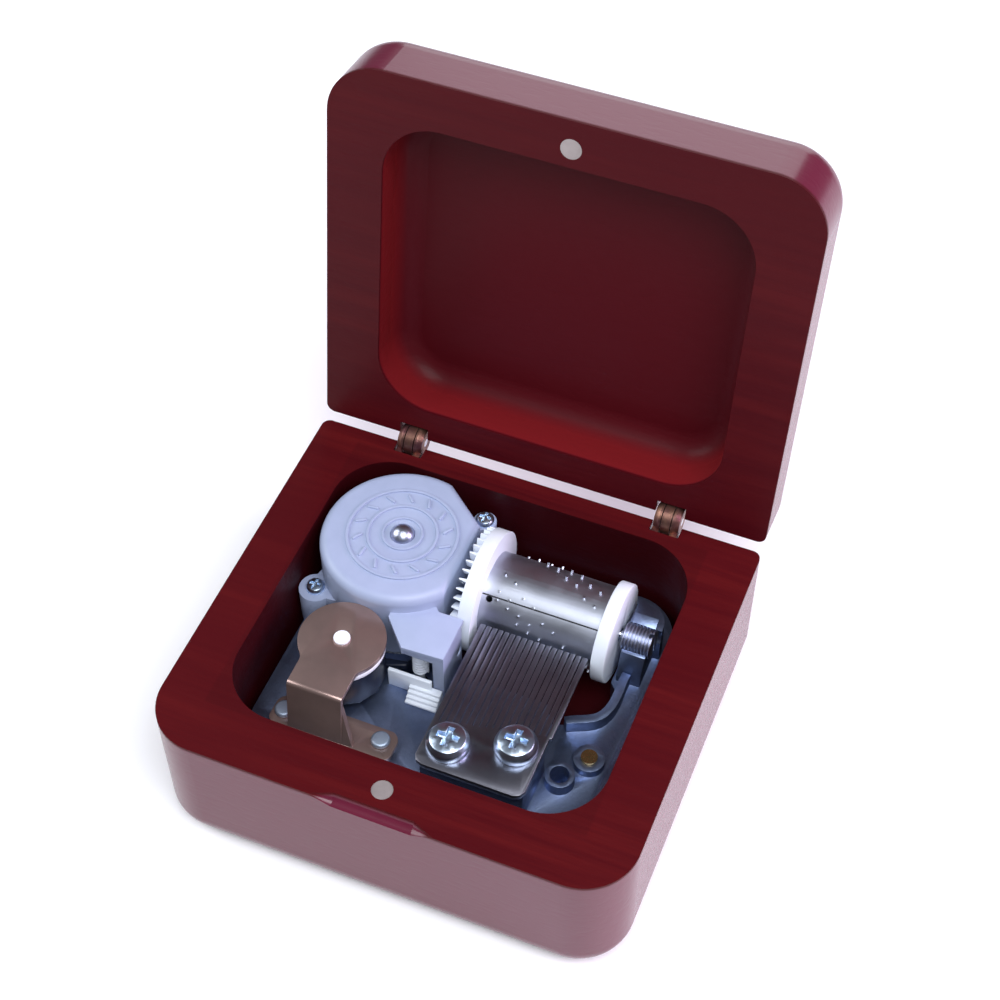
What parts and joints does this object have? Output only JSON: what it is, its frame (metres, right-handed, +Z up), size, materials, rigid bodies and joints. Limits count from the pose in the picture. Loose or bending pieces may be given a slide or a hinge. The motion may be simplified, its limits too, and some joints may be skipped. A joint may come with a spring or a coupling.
{
  "type": "wind-up music box",
  "caption": "Lacquered wooden box with a hinged lid standing open over a key-wound musical movement: pinned cylinder, steel comb, spring drum and governor.",
  "frame": {"origin": "middle of the case's flat underside", "axes": "+X to the right along the hinge line, +Y to the back where the hinges are, +Z up; the lid is stored standing open"},
  "size_m": [0.07, 0.0822, 0.0845],
  "materials": {
    "lacquered_wood": "deep red lacquer, satin",
    "magnet_nickel": "nickel plated magnet",
    "hinge_brass": "antique brass",
    "steel_bright": "bright steel",
    "zinc_casting": "zinc die casting, grey",
    "brass_screw": "turned brass",
    "comb_steel": "dark tempered steel",
    "zinc_screw": "zinc plated steel",
    "lead": "dull lead",
    "steel_nickel": "satin nickel",
    "white_plastic": "white moulded plastic",
    "grey_plastic": "pale grey moulded plastic",
    "spring_steel": "blued spring steel",
    "black_plastic": "black moulded plastic",
    "bronze_sheet": "bronzed steel sheet",
    "nylon_white": "white nylon"
  },
  "bodies": {
    "case": {"base_box": "lacquered_wood", "base_magnet": "magnet_nickel", "hinge_base_forks": "hinge_brass", "hinge_pins": "steel_bright", "bedplate": "zinc_casting", "case_screws": "brass_screw", "comb": "comb_steel", "comb_screws": "zinc_screw", "comb_weights": "lead", "bearing_screw": "zinc_screw", "spring_cover": "grey_plastic", "cover_screws": "zinc_screw", "mainspring": "spring_steel", "barrel_floor": "zinc_casting", "governor_foot": "zinc_casting", "stop_bracket": "bronze_sheet", "bracket_rivets": "zinc_screw", "stop_post": "nylon_white"},
    "lid": {"lid": "lacquered_wood", "lid_magnet": "magnet_nickel", "hinge_lid_tongues": "hinge_brass"},
    "cylinder": {"cylinder_sleeve": "steel_nickel", "cylinder_pins": "steel_bright", "cylinder_gear": "white_plastic", "cylinder_end_disc": "white_plastic", "cylinder_arbor": "steel_bright"},
    "great_wheel_set": {"great_wheel": "white_plastic", "clutch_coil": "spring_steel"},
    "winder": {"spring_arbor": "steel_bright", "winding_key": "hinge_brass"},
    "governor_cross": {"governor_arbor": "steel_bright", "governor_pinion": "white_plastic", "worm_wheel": "brass_screw"},
    "governor_upright": {"governor_worm": "steel_bright", "air_brake_fan": "black_plastic"},
    "stop": {"stop_lever": "black_plastic", "stop_disc": "nylon_white", "stop_magnet": "magnet_nickel"}
  },
  "joints": [
    {"name": "lid_hinge", "type": "hinge", "parent": "case", "child": "lid", "pos_m": [0, 0.03129, 0.02358], "axis": [1, 0, 0], "range_deg": [0, 99.3]},
    {"name": "cylinder_spin", "type": "hinge", "parent": "case", "child": "cylinder", "pos_m": [0.0084, 0.0142, 0.016], "axis": [-1, 0, 0], "continuous": true},
    {"name": "great_wheel_spin", "type": "hinge", "parent": "case", "child": "great_wheel_set", "pos_m": [-0.0149, 0.0142, 0.0077], "axis": [0, 0, -1], "continuous": true},
    {"name": "governor_cross_spin", "type": "hinge", "parent": "case", "child": "governor_cross", "pos_m": [-0.005, 0.00325, 0.015], "axis": [1, 0, 0], "continuous": true},
    {"name": "governor_upright_spin", "type": "hinge", "parent": "case", "child": "governor_upright", "pos_m": [-0.0062, 0.00005, 0.012], "axis": [0, 0, 1], "continuous": true},
    {"name": "winding_key_turn", "type": "hinge", "parent": "case", "child": "winder", "pos_m": [-0.0149, 0.0142, 0.002], "axis": [0, 0, 1], "range_deg": [0, 1260]},
    {"name": "stop_lever_swing", "type": "hinge", "parent": "case", "child": "stop", "pos_m": [-0.0162, -0.0044, 0.016], "axis": [0, 0, 1], "range_deg": [0, 9]}
  ],
  "couplings": [
    {"joint": "great_wheel_spin", "follows": "cylinder_spin", "ratio": 0.72727},
    {"joint": "governor_cross_spin", "follows": "cylinder_spin", "ratio": 3.3333},
    {"joint": "governor_upright_spin", "follows": "cylinder_spin", "ratio": 80}
  ]
}
